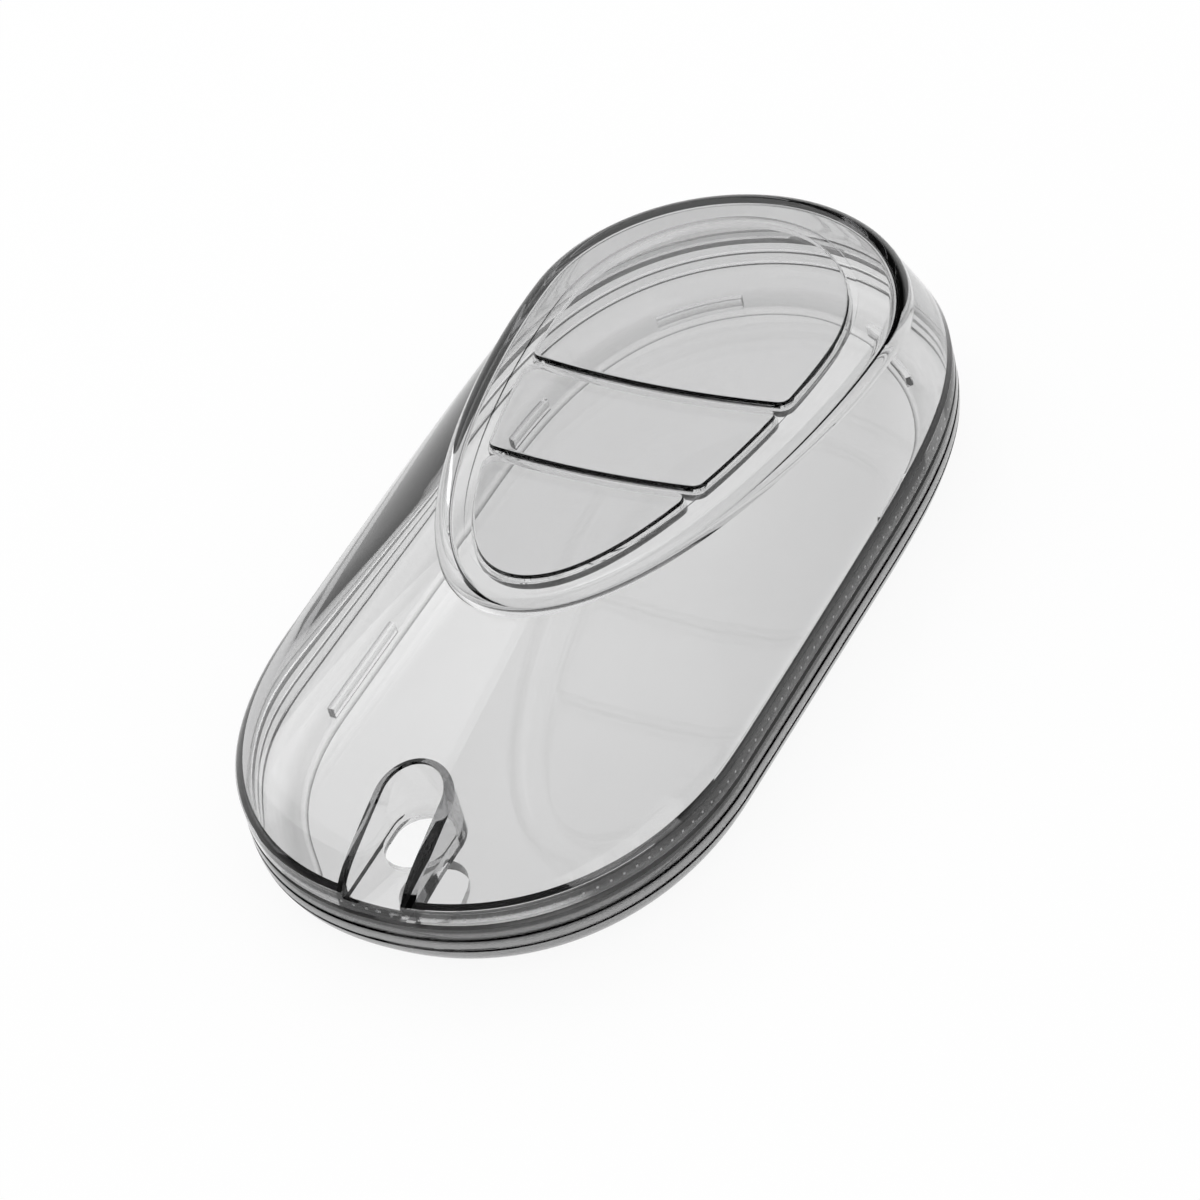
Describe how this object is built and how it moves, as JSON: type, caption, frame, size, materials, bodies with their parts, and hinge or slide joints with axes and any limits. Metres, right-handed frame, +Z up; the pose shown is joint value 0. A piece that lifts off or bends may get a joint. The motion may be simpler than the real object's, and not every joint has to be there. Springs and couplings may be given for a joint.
{
  "type": "key fob cover",
  "caption": "Clear pebble-shaped two-part cover for a key fob, with raised button pads and a U-shaped key-ring notch.",
  "frame": {"origin": "on the table under the middle of the outline, at the centre of the flat back", "axes": "+X across the cover, +Y along it toward the button end, +Z up through the button face"},
  "size_m": [0.0428, 0.082, 0.0173],
  "materials": {
    "smoky_clear_shell": "glossy smoky clear",
    "clear_button": "glossy smoky clear"
  },
  "bodies": {
    "back_half": {"back_shell": "smoky_clear_shell"},
    "front_half": {"front_shell": "smoky_clear_shell"},
    "upper_pad": {"upper_button": "clear_button"},
    "middle_pad": {"middle_button": "clear_button"},
    "lower_pad": {"lower_button": "clear_button"}
  },
  "joints": [
    {"name": "front_lift", "type": "slide", "parent": "back_half", "child": "front_half", "axis": [0, 0, 1], "range_m": [0, 0.03]},
    {"name": "upper_press", "type": "slide", "parent": "front_half", "child": "upper_pad", "axis": [0, -0.0593, -0.9982], "range_m": [0, 0.0006], "stiffness_N_per_m": 800},
    {"name": "middle_press", "type": "slide", "parent": "front_half", "child": "middle_pad", "axis": [0, -0.0593, -0.9982], "range_m": [0, 0.0006], "stiffness_N_per_m": 800},
    {"name": "lower_press", "type": "slide", "parent": "front_half", "child": "lower_pad", "axis": [0, -0.0593, -0.9982], "range_m": [0, 0.0006], "stiffness_N_per_m": 800}
  ]
}
